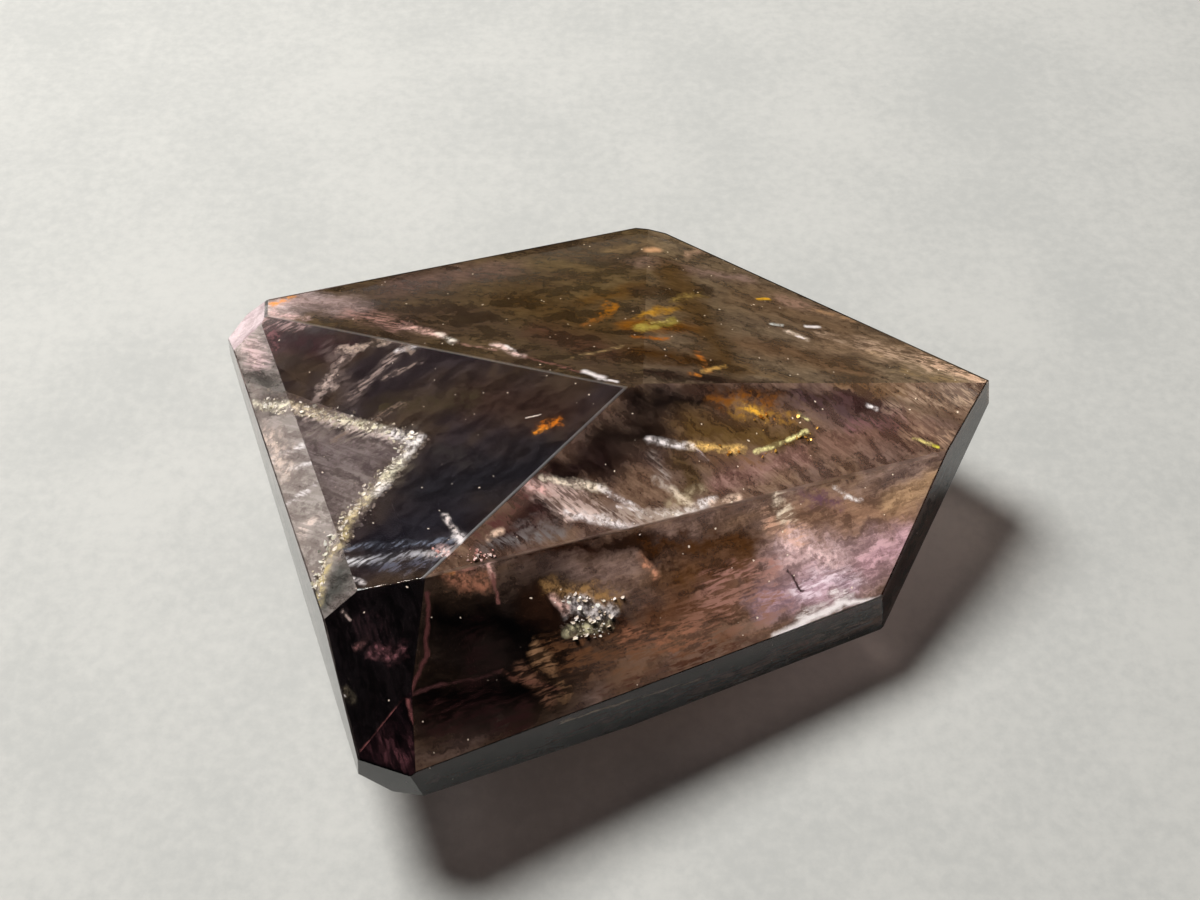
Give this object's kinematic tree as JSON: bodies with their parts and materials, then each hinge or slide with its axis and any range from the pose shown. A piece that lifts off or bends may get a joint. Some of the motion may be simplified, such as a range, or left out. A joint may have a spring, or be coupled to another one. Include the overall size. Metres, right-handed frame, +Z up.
{
  "type": "polished amethyst crystal",
  "caption": "Hand-polished freeform amethyst crystal with broad flats, see-through smoky purple with pale veils inside, lying on its flat underside.",
  "frame": {"origin": "on the surface the stone lies on, under the middle of its box", "axes": "+Z up, +X along the longest extent towards the pointed right end, -Y towards the thick front side"},
  "size_m": [0.0634, 0.057, 0.018],
  "materials": {
    "amethyst": "polished by hand to a gloss, with fine scratches and pale inner veils"
  },
  "bodies": {
    "root": {"amethyst_crystal": "amethyst"}
  },
  "joints": []
}
